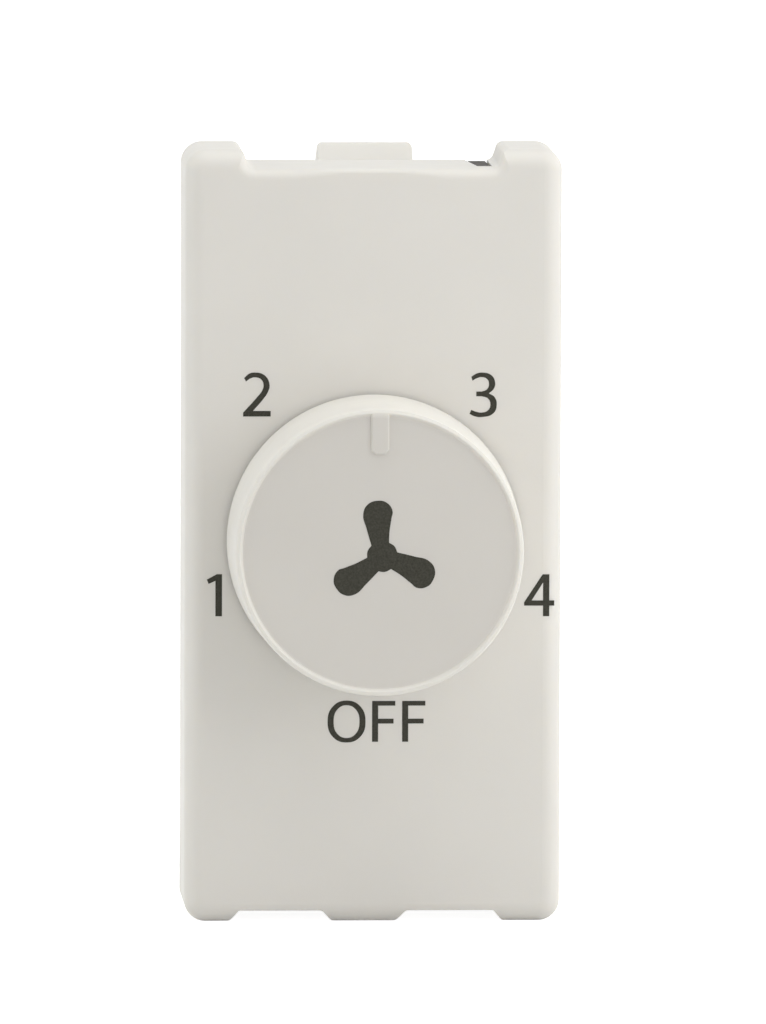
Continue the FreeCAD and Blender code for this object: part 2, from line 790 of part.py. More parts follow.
def knob_clip():
    """The bowed steel leaf that takes up the play on the shaft's flat."""
    middle = (socket_floor + knob_back) / 2
    front = middle - clip_length / 2
    back = middle + clip_length / 2
    low = shaft_flat
    high = low + clip_thickness
    left = -clip_width / 2
    outline = [
        (front, low),
        (middle, low + clip_bow),
        (back, low),
        (back, high),
        (middle, high + clip_bow),
        (front, high),
    ]
    points = [side_point(depth, up, left) for depth, up in outline]
    lower = Part.Arc(*points[:3]).toShape()
    upper = Part.Arc(*points[3:]).toShape()
    back_end = Part.LineSegment(points[2], points[3]).toShape()
    front_end = Part.LineSegment(points[5], points[0]).toShape()
    return Part.Face(Part.Wire([lower, back_end, upper, front_end])).extrude(Vector(clip_width, 0, 0))


def wiper_contact():
    """The sprung contact on the rotor's back: a hub ring with a short and a long arm."""
    hub_back = cam_back + wiper_thickness
    tip_front = wiper_tip - wiper_thickness
    hub = ring(pivot_radius, wiper_hub_radius, cam_back, hub_back)
    start = (pivot_radius + wiper_hub_radius) / 2
    arms = []
    for radius, degrees in ((pad_middle_radius, 0), (common_middle_radius, 180)):
        bend = radius - wiper_tip_length / 2
        end = radius + wiper_tip_length / 2
        outline = [
            (cam_back, start),
            (hub_back, start),
            (wiper_tip, bend),
            (wiper_tip, end),
            (tip_front, end),
            (tip_front, bend),
        ]
        corners = [side_point(depth, up, -wiper_arm_width / 2) for depth, up in outline]
        arms.append(turned(prism(corners, Vector(wiper_arm_width, 0, 0)), degrees))
    return fuse(hub, arms)


def detent_spring():
    """The steel leaf with a round bump, held at its ends by the posts of the contact base."""
    y_low = (cam_front + cam_back - leaf_width) / 2
    low = leaf_middle - leaf_thickness / 2
    y_high = y_low + leaf_width
    strip = box(-leaf_half_length, leaf_half_length, y_low, y_high, low, low + leaf_thickness)
    outer = rod(leaf_bump_radius, y_low, y_high, 0, leaf_middle)
    inner = rod(leaf_bump_radius - leaf_thickness, y_low - past, y_high + past, 0, leaf_middle)
    below = box(-leaf_bump_radius, leaf_bump_radius, y_low - past, y_high + past, 0, low + leaf_thickness)
    strip = fuse(strip, [outer.common(below)])
    return strip.cut(inner)


def step_positions():
    """The angle of each live step, clockwise from the top: all but the OFF position at the bottom."""
    return [180 + step_angle * (index + 1) for index in range(step_count - 1)]


def tab_places():
    """Angle and radius of every contact's tab."""
    places = [(angle, pad_middle_radius) for angle in step_positions()]
    places.append((180.0, common_middle_radius))
    return places


def tab(clearance, y_low, y_high, angle, distance):
    """A flat tab along Y at an angle and distance from the knob's axis, or the slot for it."""
    half_width = tab_width / 2 + clearance
    half_thickness = pad_thickness / 2 + clearance
    blade = box(-half_width, half_width, y_low, y_high, distance - half_thickness, distance + half_thickness)
    return turned(blade, angle)


def contact_base():
    """The dark moulded tray: floor, rim, leaf posts, board posts, key lug, pivot hole and tab slots."""
    rim_front = tray_back - tray_depth
    tray = centred_box(tray_half_width, rim_front, tray_back, tray_half_height)
    inside = centred_box(tray_inner_half_width, rim_front - past, tray_front, tray_inner_half_height)
    tray = tray.cut(inside)
    grown = []
    for side in (-1, 1):
        x_inner = side * (leaf_half_length - leaf_post_width)
        x_outer = side * (tray_half_width - tray_wall / 2)
        grown.append(box_between(x_inner, x_outer, cam_front, tray_front + past / 2,
                                 leaf_middle - leaf_post_height / 2, leaf_middle + leaf_post_height / 2))
        for end in (-1, 1):
            half = tray_post_size / 2
            post = centred_box(half, tray_back - tray_floor / 2, board_front, half)
            x = side * (board_half_width - tray_post_inset)
            z = end * (board_half_height - tray_post_inset)
            post.translate(Vector(x, 0, z))
            grown.append(post)
    grown.append(key_wedge(0, tray_back, tray_half_height - tray_wall / 2, notch_floor - key_drop))
    tray = fuse(tray, grown)
    slot_half = leaf_thickness / 2 + leaf_slot_clearance
    reach = leaf_half_length + leaf_slot_clearance
    leaf_back = (cam_front + cam_back + leaf_width) / 2 + leaf_slot_clearance
    slot_low = leaf_middle - slot_half
    tray = tray.cut(box(-reach, reach, cam_front - past, leaf_back, slot_low, slot_low + 2 * slot_half))
    y_low = tray_front - past
    y_high = tray_back + past
    tray = tray.cut(rod(pivot_radius + shaft_clearance, y_low, y_high))
    for angle, distance in tab_places():
        tray = tray.cut(tab(tab_clearance, y_low, y_high, angle, distance))
    return tray


def common_contact_ring():
    """The ring that the wiper's short arm always touches, with its tab."""
    y_low = tray_front - pad_thickness
    body = ring(common_inner_radius, common_outer_radius, y_low, tray_front)
    return fuse(body, [tab(0, y_low + pad_thickness / 2, tail_back, 180, common_middle_radius)])


def step_contact(angle):
    """One arc-shaped contact for one speed, with its tab."""
    y_low = tray_front - pad_thickness
    start = Vector(0, y_low, 0)
    sector = Part.makeCylinder(pad_outer_radius, pad_thickness, start, Y_AXIS, 2 * pad_half_angle)
    sector = sector.cut(rod(pad_inner_radius, y_low - past, tray_front + past))
    centre = sector.Solids[0].CenterOfMass
    heading = math.degrees(math.atan2(centre.x, centre.z))
    sector = turned(sector, angle - heading)
    return fuse(sector, [tab(0, y_low + pad_thickness / 2, tail_back, angle, pad_middle_radius)])


def lead_slots():
    """Where the flat and square leads cross the board: place across, height, width and thickness."""
    upper = (large_capacitor_bottom + large_capacitor_top) / 2
    lower = (small_capacitor_bottom + small_capacitor_top) / 2
    slots = []
    for side in (-1, 1):
        for height in (upper, lower):
            slots.append((side * capacitor_tab_offset, height, capacitor_tab_width, capacitor_tab_thickness))
        for height in (series_resistor_upper, series_resistor_lower):
            lead_x = side * series_resistor_lead_pitch / 2
            slots.append((lead_x, height, series_resistor_lead_size, series_resistor_lead_size))
        middle = busbar_top - busbar_thickness / 2
        slots.append((side * terminal_offset, middle, busbar_tail_width, busbar_thickness))
    return slots


def lead(clearance, y_low, y_high, place):
    """A straight lead along Y at one of the board's slots, or the slot itself."""
    x, z, width, thickness = place
    half_width = width / 2 + clearance
    half_thickness = thickness / 2 + clearance
    return box(x - half_width, x + half_width, y_low, y_high, z - half_thickness, z + half_thickness)


def circuit_board():
    """The board with its slots for contact tabs, part leads and busbar tails."""
    board = centred_box(board_half_width, board_front, board_back, board_half_height)
    y_low = board_front - past
    y_high = board_back + past
    for angle, distance in tab_places():
        board = board.cut(tab(lead_clearance, y_low, y_high, angle, distance))
    for place in lead_slots():
        board = board.cut(lead(lead_clearance, y_low, y_high, place))
    return board


def leads_at(height, y_high):
    """The leads that cross the board at one height, up to where they enter their part."""
    return [lead(0, tail_front, y_high, place) for place in lead_slots() if abs(place[1] - height) < 0.001]


def capacitor(bottom, top, back):
    """A moulded film capacitor with feet and two flat leads, its length along Y."""
    half = capacitor_half_width
    body = box(-half, half, capacitor_front, back, bottom, top)
    body = body.makeChamfer(capacitor_edge_chamfer, edges_where(body, lambda p: abs(p.y - back) < 0.001))
    foot = capacitor_stand_off * 2
    in_case = capacitor_front + past
    grown = leads_at((bottom + top) / 2, in_case)
    for side in (-1, 1):
        for low in (bottom, top - foot):
            grown.append(box_between(side * (half - foot), side * half, board_back, in_case, low, low + foot))
    return fuse(body, grown)


def series_resistor(height):
    """A series resistor on the board's back, with its leads bent through the board."""
    axis_y = board_back + series_resistor_lift + series_resistor_radius
    half = series_resistor_length / 2
    centre_line = Vector(-half, axis_y, height)
    body = Part.makeCylinder(series_resistor_radius, series_resistor_length, centre_line, Vector(1, 0, 0))
    rims = [edge for edge in body.Edges if edge.Curve.TypeId == "Part::GeomCircle"]
    body = body.makeChamfer(series_resistor_chamfer, rims)
    lead_half = series_resistor_lead_size / 2
    reach = series_resistor_lead_pitch / 2 + lead_half
    across = centred_box(reach, axis_y - lead_half, axis_y + lead_half, lead_half)
    across.translate(Vector(0, 0, height))
    return fuse(body, [across] + leads_at(height, axis_y + lead_half))


def bleed_resistor(height):
    """A flat chip resistor on the board's front, with a metal cap at each end."""
    half = bleed_resistor_length / 2
    half_width = bleed_resistor_width / 2
    rise = bleed_resistor_cap_rise
    body_front = board_front - bleed_resistor_height
    low = height - half_width
    high = height + half_width
    body = box(-half, half, body_front, board_front, low, high)
    caps = []
    for side in (-1, 1):
        x_inner = side * (half - bleed_resistor_cap)
        x_outer = side * (half + rise)
        caps.append(box_between(x_inner, x_outer, body_front - rise, board_front, low - rise, high + rise))
    return fuse(body, caps)


def insulating_barrier():
    """The fibre plate that closes the terminal pockets, slotted for the busbars."""
    low = -inside_half_height + board_ledge_height
    plate = box(-inside_half_width, inside_half_width, barrier_front, block_front, low, terminal_block_top)
    slot_half = busbar_width / 2 + busbar_clearance
    slot_low = busbar_low - busbar_clearance
    slot_high = busbar_top + busbar_clearance
    y_low = barrier_front - past
    y_high = block_front + past
    for side in (-1, 1):
        x = side * terminal_offset
        plate = plate.cut(box(x - slot_half, x + slot_half, y_low, y_high, slot_low, slot_high))
    return plate


def busbar(side):
    """A bent brass strip from the board to the tongue inside the clamp cage."""
    x = side * terminal_offset
    left = x - busbar_width / 2
    outline = [
        (board_back, busbar_top, 0),
        (tongue_back, busbar_top, busbar_thickness * 1.4),
        (tongue_back, cage_bottom, 0),
        (tongue_front, cage_bottom, 0),
        (tongue_front, busbar_low, busbar_thickness * 0.4),
        (board_back, busbar_low, 0),
    ]
    corners = [side_point(depth, up, left) for depth, up, radius in outline]
    radii = [radius for depth, up, radius in outline]
    strip = prism(corners, Vector(busbar_width, 0, 0), radii)
    tails = leads_at(busbar_top - busbar_thickness / 2, board_back + past)
    return fuse(strip, [tail for tail in tails if tail.BoundBox.Center.x * side > 0])


def clamp_cage(side):
    """The rising cage: a square brass loop, thick where the screw is threaded through it."""
    x = side * terminal_offset
    half_width = cage_width / 2
    body = box(x - half_width, x + half_width, cage_front, cage_back, cage_bottom, cage_top)
    upright = [edge for edge in body.Edges if abs(edge.Vertexes[0].Z - edge.Vertexes[1].Z) > past]
    body = body.makeFillet(cage_wall / 2, upright)
    window_half = half_width - cage_wall
    window = box(x - window_half, x + window_half, cage_window_front, cage_window_back, -cover_height, 0)
    body = body.cut(window)
    thread_radius = screw_radius + screw_thread_clearance
    return body.cut(rod(thread_radius, cage_window_back - past, cage_back + past, x, terminal_height))


def terminal_screw(side):
    """A slotted screw with its head at the back and its tip on the busbar's tongue."""
    x = side * terminal_offset
    shank = rod(screw_radius, screw_tip, head_front + past / 2, x, terminal_height)
    tip = edges_where(shank, lambda p: abs(p.y - screw_tip) < 0.001)
    shank = shank.makeChamfer(screw_radius / 4, tip)
    head = rod(screw_head_radius, head_front, head_back, x, terminal_height)
    head_rim = edges_where(head, lambda p: abs(p.y - head_back) < 0.001)
    head = head.makeChamfer(screw_head_height / 8, head_rim)
    screw = fuse(head, [shank])
    slot_half = screw_slot_width / 2
    reach = screw_head_radius + past
    slot = box(x - reach, x + reach, head_back - screw_slot_depth, head_back + past,
               terminal_height - slot_half, terminal_height + slot_half)
    return screw.cut(slot)


def main():
    """Build every piece and write it to its own file."""
    os.makedirs("parts", exist_ok=True)
    save("front_cover", front_cover())
    save("rear_housing", rear_housing())
    save("knob", knob())
    save("knob_clip", knob_clip())
    save("rotor", rotor())
    save("thrust_washer", thrust_washer())
    save("wiper_contact", wiper_contact())
    save("detent_spring", detent_spring())
    save("contact_base", contact_base())
    save("common_contact_ring", common_contact_ring())
    for number, angle in enumerate(step_positions(), start=1):
        save("step_contact_" + str(number), step_contact(angle))
    save("circuit_board", circuit_board())
    large = capacitor(large_capacitor_bottom, large_capacitor_top, large_capacitor_back)
    small = capacitor(small_capacitor_bottom, small_capacitor_top, small_capacitor_back)
    save("large_capacitor", large)
    save("small_capacitor", small)
    save("series_resistor_upper", series_resistor(series_resistor_upper))
    save("series_resistor_lower", series_resistor(series_resistor_lower))
    save("bleed_resistor_upper", bleed_resistor(bleed_resistor_upper))
    save("bleed_resistor_lower", bleed_resistor(bleed_resistor_lower))
    save("insulating_barrier", insulating_barrier())
    for name, side in (("load", -1), ("line", 1)):
        save(name + "_busbar", busbar(side))
        save(name + "_clamp_cage", clamp_cage(side))
        save(name + "_terminal_screw", terminal_screw(side))


main()
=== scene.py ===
"""Finishes, printed marks, lamps and camera of the fan speed switch. Lengths are in metres."""
import json
import math

import bmesh
import bpy
from mathutils import Matrix, Vector

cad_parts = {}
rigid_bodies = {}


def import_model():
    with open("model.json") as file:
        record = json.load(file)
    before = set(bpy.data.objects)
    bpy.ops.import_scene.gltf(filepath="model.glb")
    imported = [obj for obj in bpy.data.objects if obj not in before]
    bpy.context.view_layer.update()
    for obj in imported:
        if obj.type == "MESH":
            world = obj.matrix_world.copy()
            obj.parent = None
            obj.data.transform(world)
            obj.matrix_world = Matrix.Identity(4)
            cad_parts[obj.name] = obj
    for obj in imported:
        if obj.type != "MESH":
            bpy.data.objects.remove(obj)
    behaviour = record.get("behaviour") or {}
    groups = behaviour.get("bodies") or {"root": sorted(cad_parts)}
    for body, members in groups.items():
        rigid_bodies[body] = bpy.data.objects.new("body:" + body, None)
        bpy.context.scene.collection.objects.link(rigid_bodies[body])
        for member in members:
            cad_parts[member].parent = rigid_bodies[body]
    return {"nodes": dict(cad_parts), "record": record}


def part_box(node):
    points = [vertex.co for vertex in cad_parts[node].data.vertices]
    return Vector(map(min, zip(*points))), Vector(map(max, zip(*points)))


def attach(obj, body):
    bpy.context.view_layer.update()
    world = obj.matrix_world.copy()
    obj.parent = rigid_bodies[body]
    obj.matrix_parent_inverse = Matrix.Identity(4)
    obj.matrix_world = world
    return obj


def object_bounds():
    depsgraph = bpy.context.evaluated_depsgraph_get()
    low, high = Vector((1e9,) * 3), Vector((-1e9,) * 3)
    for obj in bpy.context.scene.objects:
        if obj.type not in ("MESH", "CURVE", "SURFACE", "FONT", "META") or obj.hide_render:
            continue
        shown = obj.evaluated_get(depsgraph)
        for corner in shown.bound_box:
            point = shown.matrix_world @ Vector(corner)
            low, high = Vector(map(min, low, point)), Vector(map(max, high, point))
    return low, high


MM = 0.001
HUNDREDTH = 0.01 * MM

# The knob's printed face: its place along Y, and the distances from the knob's axis over which its duller
# tone gives way to the paler tone painted on the knob's side and rim, a painted highlight for the light that
# falls there.
KNOB_FACE = -15.64 * MM
KNOB_PAINTED_HIGHLIGHT_EDGE = (7.95 * MM, 8.28 * MM)

# Noise runs mostly between these two values, so patterns are spread over them.
NOISE_LOW = 0.3
NOISE_HIGH = 0.7

# Patterns of the plastics and metals
CLOUDING_SIZE = 6.0 * MM
CLOUDING_DEPTH = 0.012
GRAIN_SIZE = 0.16 * MM
GLOSS_PATCH_SIZE = 1.5 * MM
LIGHT_DEPTH = 0.9 * MM
DRAWING_LINE_SIZE = 0.5 * MM
DRAWING_LINE_HEIGHT = 0.003 * MM
TARNISH_SIZE = 2.0 * MM

TIN = (0.7, 0.7, 0.68)
WHITE = (1.0, 1.0, 1.0)
COOL_WHITE = (0.975, 1.0, 0.995)
BLACK = (0.0, 0.0, 0.0)
CAPACITOR_GREY = (0.07, 0.075, 0.085)
LACQUER_GREEN = (0.3, 0.36, 0.3)
CHIP_GLAZE = (0.02, 0.02, 0.022)
PHENOLIC_BROWN = (0.045, 0.04, 0.033)

# Each moulding's slot, colour, finest and dullest roughness, height of grain, share of light let in, and, for
# the knob, a paler colour painted on its side and rim as a painted highlight for the light that falls there
MOULDINGS = [
    ("cover_plastic", (0.715, 0.69, 0.645), 0.46, 0.58, 0.0035 * MM, 0.22),
    ("housing_plastic", (0.71, 0.685, 0.64), 0.42, 0.56, 0.006 * MM, 0.2),
    # the knob's last colour is a painted highlight: its side and rim are painted paler than its face
    ("knob_plastic", (0.617, 0.589, 0.545), 0.46, 0.58, 0.003 * MM, 0.22, (0.735, 0.71, 0.66)),
    ("rotor_nylon", (0.72, 0.68, 0.57), 0.38, 0.5, 0.004 * MM, 0.35),
    ("washer_plastic", (0.62, 0.56, 0.42), 0.5, 0.65, 0.004 * MM, 0.2),
]

# Each metal's slot, colour, finest and dullest roughness, how often its drawing lines repeat along
# X, Y and Z, and how far it is tarnished
METALS = [
    ("spring_steel", (0.5, 0.5, 0.51), 0.2, 0.34, (1.0, 1.0, 14.0), 0.08),
    ("plated_steel", (0.58, 0.58, 0.55), 0.26, 0.42, (1.0, 6.0, 1.0), 0.1),
    ("phosphor_bronze", (0.62, 0.36, 0.2), 0.22, 0.36, (1.0, 1.0, 14.0), 0.12),
    ("contact_brass", (0.72, 0.52, 0.24), 0.2, 0.36, (14.0, 1.0, 1.0), 0.12),
    ("terminal_brass", (0.66, 0.48, 0.22), 0.26, 0.42, (1.0, 1.0, 14.0), 0.14),
]

# The value rings of a resistor: where each starts on the stretch from lead to lead, and its colour
RING_LENGTH = 0.055
RINGS = [
    (0.28, (0.2, 0.06, 0.03)),
    (0.4, (0.02, 0.02, 0.02)),
    (0.52, (0.35, 0.05, 0.03)),
    (0.7, (0.5, 0.36, 0.12)),
]

INK_HALF_THICKNESS = 0.008 * MM
INK_MERGE_DISTANCE = 0.0005 * MM
CURVE_STEPS = 10

# Marks on the cover: each outline runs round a sign in hundredths of a millimetre from its own left
# edge and foot. "c" is a corner and "s" a point on a smooth run.
DIGIT_ONE = [
    [
        (51, 0, "c"), (90, 0, "c"), (90, 251, "c"), (59, 251, "c"), (0, 219, "c"), (10, 193, "c"),
        (51, 212, "c"),
    ],
]
DIGIT_TWO = [
    [
        (6, 229, "c"), (34, 254, "s"), (71, 262, "s"), (129, 244, "s"), (157, 188, "s"), (147, 145, "s"),
        (119, 103, "s"), (58, 33, "c"), (164, 33, "c"), (164, 0, "c"), (0, 0, "c"), (0, 23, "c"),
        (82, 114, "s"), (113, 154, "s"), (121, 188, "s"), (108, 220, "s"), (72, 233, "s"), (42, 226, "s"),
        (17, 208, "c"),
    ],
]
DIGIT_THREE = [
    [
        (10, 238, "c"), (41, 257, "s"), (77, 263, "s"), (130, 247, "s"), (152, 205, "s"), (145, 168, "s"),
        (115, 139, "c"), (149, 117, "s"), (162, 71, "s"), (142, 20, "s"), (73, -2, "s"), (32, 2, "s"),
        (0, 17, "c"), (10, 41, "c"), (39, 30, "s"), (73, 25, "s"), (111, 39, "s"), (124, 74, "s"),
        (110, 108, "s"), (73, 122, "c"), (40, 122, "c"), (40, 150, "c"), (73, 150, "c"), (104, 164, "s"),
        (115, 197, "s"), (103, 225, "s"), (72, 236, "s"), (43, 229, "s"), (17, 215, "c"),
    ],
]
DIGIT_FOUR = [
    [
        (110, 250, "c"), (150, 250, "c"), (150, 94, "c"), (180, 94, "c"), (180, 63, "c"), (150, 63, "c"),
        (150, 0, "c"), (113, 0, "c"), (113, 63, "c"), (0, 63, "c"), (0, 83, "c"),
    ],
    [(45, 94, "c"), (113, 94, "c"), (113, 201, "c")],
]
LETTER_O = [
    [
        (0, 121, "s"), (32, 213, "s"), (113, 247, "s"), (194, 213, "s"), (226, 121, "s"), (194, 29, "s"),
        (113, -4, "s"), (32, 29, "s"),
    ],
    [
        (36, 121, "s"), (58, 193, "s"), (113, 219, "s"), (168, 193, "s"), (190, 121, "s"), (168, 49, "s"),
        (113, 23, "s"), (58, 49, "s"),
    ],
]
LETTER_F = [
    [
        (0, 0, "c"), (36, 0, "c"), (36, 109, "c"), (128, 109, "c"), (128, 138, "c"), (36, 138, "c"),
        (36, 216, "c"), (138, 216, "c"), (138, 244, "c"), (0, 244, "c"),
    ],
]

# Each mark's name, sign, left edge and foot, in millimetres from the knob's axis
COVER_MARKS = [
    ("printed_1", DIGIT_ONE, -9.90, -4.50),
    ("printed_2", DIGIT_TWO, -7.77, 7.41),
    ("printed_3", DIGIT_THREE, 5.69, 7.38),
    ("printed_4", DIGIT_FOUR, 8.98, -4.53),
    ("printed_off_letter_o", LETTER_O, -2.70, -12.02),
    ("printed_off_first_f", LETTER_F, -0.05, -12.02),
    ("printed_off_second_f", LETTER_F, 1.74, -12.02),
]

# The fan symbol, in millimetres: where its hub stands on the knob's face, and one blade, up its left
# side, over its tip and down its right side.
FAN_SPOT = Vector((0.15, 0.0, -0.23)) * MM
FAN_HUB_RADIUS = 0.93
FAN_BLADE_COUNT = 3
FAN_BLADE = [
    (-0.65, 0.64, "c"), (-0.94, 1.64, "s"), (-1.14, 2.48, "s"), (-0.87, 3.08, "s"), (-0.23, 3.30, "s"),
    (0.23, 3.19, "s"), (0.59, 2.70, "s"), (0.53, 2.25, "s"), (0.42, 1.49, "s"), (0.39, 0.82, "c"),
]

# How strongly the white room lights the switch, and how strongly the floor glows in the picture
ROOM_FILL = 0.37
FLOOR_GLOW = 0.9
FLOOR_HALF_WIDTH = 3.0
FLOOR_GAP = 0.02 * MM

# Each lamp's name, place and width in metres, watts and colour
LAMPS = [
    ("key_lamp", (0.155, -0.135, 0.125), 0.24, 0.165, WHITE),
    ("near_lamp", (0.1, -0.115, 0.03), 0.12, 0.034, WHITE),
    ("left_lamp", (-0.5, -0.07, 0.08), 0.5, 1.34, COOL_WHITE),
    ("top_lamp", (0.0, -0.07, 0.5), 0.45, 1.26, COOL_WHITE),
    ("right_lamp", (0.5, 0.05, 0.05), 0.45, 1.1, COOL_WHITE),
]

# The camera, in degrees, metres and millimetres of lens. It stands far off with a long lens.
CAMERA_AZIMUTH = -2.9
CAMERA_ELEVATION = 5.2
CAMERA_ROLL = 0.17
CAMERA_DISTANCE = 1.0
CAMERA_LENS = 591.7
CAMERA_AIM = Vector((0.564, -8.0, 1.705)) * MM


class Finish:
    """A material with helpers for the patterns that are laid over it, all on Object coordinates."""

    def __init__(self, name, colour, roughness, metallic=0.0):
        self.material = bpy.data.materials.new(name)
        self.material.use_nodes = True
        self.tree = self.material.node_tree
        self.shader = self.tree.nodes["Principled BSDF"]
        self.place = self.tree.nodes.new("ShaderNodeTexCoord").outputs["Object"]
        self.colour = colour
        self.set("Base Color", (*colour, 1.0))
        self.set("Roughness", roughness)
        self.set("Metallic", metallic)

    def set(self, socket, value):
        self.shader.inputs[socket].default_value = value

    def join(self, output, socket):
        self.tree.links.new(output, self.shader.inputs[socket])

    def stretched(self, scale):
        """Object coordinates scaled apart along the three axes, for grain that runs one way."""
        node = self.tree.nodes.new("ShaderNodeMapping")
        node.inputs["Scale"].default_value = scale
        self.tree.links.new(self.place, node.inputs["Vector"])
        return node.outputs["Vector"]

    def noise(self, size, detail=3.0, place=None):
        """Cloudy noise whose lumps are about this long in metres."""
        node = self.tree.nodes.new("ShaderNodeTexNoise")
        node.inputs["Scale"].default_value = 1.0 / size
        node.inputs["Detail"].default_value = detail
        self.tree.links.new(place or self.place, node.inputs["Vector"])
        return node.outputs["Fac"]

    def cells(self, size):
        """Random cells about this long in metres, dark in the middle."""
        node = self.tree.nodes.new("ShaderNodeTexVoronoi")
        node.inputs["Scale"].default_value = 1.0 / size
        self.tree.links.new(self.place, node.inputs["Vector"])
        return node.outputs["Distance"]

    def along(self, axis, low, high):
        """0 to 1 between two places on one axis, in metres."""
        split = self.tree.nodes.new("ShaderNodeSeparateXYZ")
        self.tree.links.new(self.place, split.inputs["Vector"])
        return self.spread(split.outputs[axis], low, high, 0.0, 1.0)

    def spread(self, value, low, high, to_low, to_high):
        """The range from low to high stretched over another one."""
        node = self.tree.nodes.new("ShaderNodeMapRange")
        node.inputs["From Min"].default_value = low
        node.inputs["From Max"].default_value = high
        node.inputs["To Min"].default_value = to_low
        node.inputs["To Max"].default_value = to_high
        self.tree.links.new(value, node.inputs["Value"])
        return node.outputs["Result"]

    def ramp(self, value, stops, sharp=False):
        """Colours laid over a 0 to 1 value, in sharp bands or running into each other."""
        node = self.tree.nodes.new("ShaderNodeValToRGB")
        ramp = node.color_ramp
        ramp.interpolation = "CONSTANT" if sharp else "LINEAR"
        while len(ramp.elements) < len(stops):
            ramp.elements.new(1.0)
        for element, (position, colour) in zip(ramp.elements, stops):
            element.position = position
            element.color = (*colour, 1.0)
        self.tree.links.new(value, node.inputs["Fac"])
        return node.outputs["Color"]

    def tinted(self, value, colour, depth):
        """A colour that drifts a little lighter and darker with a 0 to 1 value."""
        darker = tuple(channel * (1.0 - depth) for channel in colour)
        lighter = tuple(min(1.0, channel * (1.0 + depth)) for channel in colour)
        return self.ramp(value, [(NOISE_LOW, darker), (NOISE_HIGH, lighter)])

    def mottle(self, value, depth):
        """The finish's own colour, drifting with a 0 to 1 value."""
        self.join(self.tinted(value, self.colour, depth), "Base Color")

    def from_axis(self, low, high):
        """0 to 1 between two distances from the knob's axis, in metres."""
        node = self.tree.nodes.new("ShaderNodeVectorMath")
        node.operation = "LENGTH"
        self.tree.links.new(self.stretched((1.0, 0.0, 1.0)), node.inputs[0])
        return self.spread(node.outputs["Value"], low, high, 0.0, 1.0)

    def blend(self, value, first, other):
        """One colour where the value is 0 and another where it is 1."""
        node = self.tree.nodes.new("ShaderNodeMix")
        node.data_type = "RGBA"
        self.tree.links.new(value, node.inputs["Factor"])
        self.tree.links.new(first, node.inputs["A"])
        self.tree.links.new(other, node.inputs["B"])
        return node.outputs["Result"]

    def gloss(self, value, smooth, rough):
        """Roughness that drifts between two values with a 0 to 1 value."""
        self.join(self.spread(value, NOISE_LOW, NOISE_HIGH, smooth, rough), "Roughness")

    def relief(self, value, height):
        """Bumps of this height in metres."""
        node = self.tree.nodes.new("ShaderNodeBump")
        node.inputs["Distance"].default_value = height
        self.tree.links.new(value, node.inputs["Height"])
        self.join(node.outputs["Normal"], "Normal")


def moulded_plastic(name, colour, smooth, rough, grain, glow, painted_highlight_side_colour=None):
    """Injection-moulded plastic: fine spark-eroded grain, faint flow clouding and some light let through; a
    side colour paints the knob's side and rim paler than its face, a painted highlight.
    """
    finish = Finish(name, colour, rough)
    clouding = finish.noise(CLOUDING_SIZE, 4.0)
    if painted_highlight_side_colour is None:
        finish.mottle(clouding, CLOUDING_DEPTH)
    else:
        # painted highlight: the knob's side and rim get a paler colour than its face, standing for the light
        # that falls on them
        face_and_painted_highlight_tones = [finish.tinted(clouding, tone, CLOUDING_DEPTH) for tone in (colour, painted_highlight_side_colour)]
        finish.join(finish.blend(finish.from_axis(*KNOB_PAINTED_HIGHLIGHT_EDGE), *face_and_painted_highlight_tones), "Base Color")
    finish.gloss(finish.noise(GLOSS_PATCH_SIZE), smooth, rough)
    finish.relief(finish.noise(GRAIN_SIZE, 4.0), grain)
    finish.set("Subsurface Weight", glow)
    finish.set("Subsurface Radius", (1.0, 0.85, 0.6))
    finish.set("Subsurface Scale", LIGHT_DEPTH)
    return finish.material


def worked_metal(name, colour, smooth, rough, brush, tarnish):
    """Stamped or drawn metal: fine drawing lines along one axis, with a little tarnish."""
    finish = Finish(name, colour, rough, metallic=1.0)
    lines = finish.noise(DRAWING_LINE_SIZE, 5.0, finish.stretched(brush))
    finish.mottle(finish.noise(TARNISH_SIZE, 5.0), tarnish)
    finish.gloss(lines, smooth, rough)
    finish.relief(lines, DRAWING_LINE_HEIGHT)
    return finish.material


def printing_ink():
    """Pad-printed ink: near black, a little thin and speckled."""
    finish = Finish("printing_ink", (0.024, 0.023, 0.015), 0.62)
    finish.set("Specular IOR Level", 0.3)
    coverage = [(0.33, (0.018, 0.017, 0.010)), (0.7, (0.037, 0.035, 0.025))]
    finish.join(finish.ramp(finish.noise(0.11 * MM, 6.0), coverage), "Base Color")
    finish.gloss(finish.noise(0.2 * MM), 0.5, 0.7)
    finish.relief(finish.noise(0.06 * MM, 4.0), 0.002 * MM)
    return finish.material


def phenolic():
    """Dark pressed resin of the contact base, with pale filler specks."""
    finish = Finish("phenolic", PHENOLIC_BROWN, 0.6)
    finish.set("Specular IOR Level", 0.25)
    specks = [(0.0, (0.12, 0.105, 0.085)), (0.16, PHENOLIC_BROWN)]
    finish.join(finish.ramp(finish.cells(0.25 * MM), specks), "Base Color")
    finish.gloss(finish.noise(0.8 * MM), 0.5, 0.7)
    finish.relief(finish.noise(0.15 * MM, 4.0), 0.006 * MM)
    return finish.material


def board_laminate():
    """Paper laminate of the circuit board: tan, with the weave of the sheet showing through."""
    finish = Finish("board_laminate", (0.6, 0.44, 0.2), 0.42)
    across = finish.noise(0.35 * MM, 2.0, finish.stretched((1.0, 1.0, 6.0)))
    finish.mottle(across, 0.1)
    finish.gloss(finish.noise(0.5 * MM), 0.34, 0.5)
    finish.relief(finish.noise(0.35 * MM, 2.0, finish.stretched((6.0, 1.0, 1.0))), 0.004 * MM)
    return finish.material


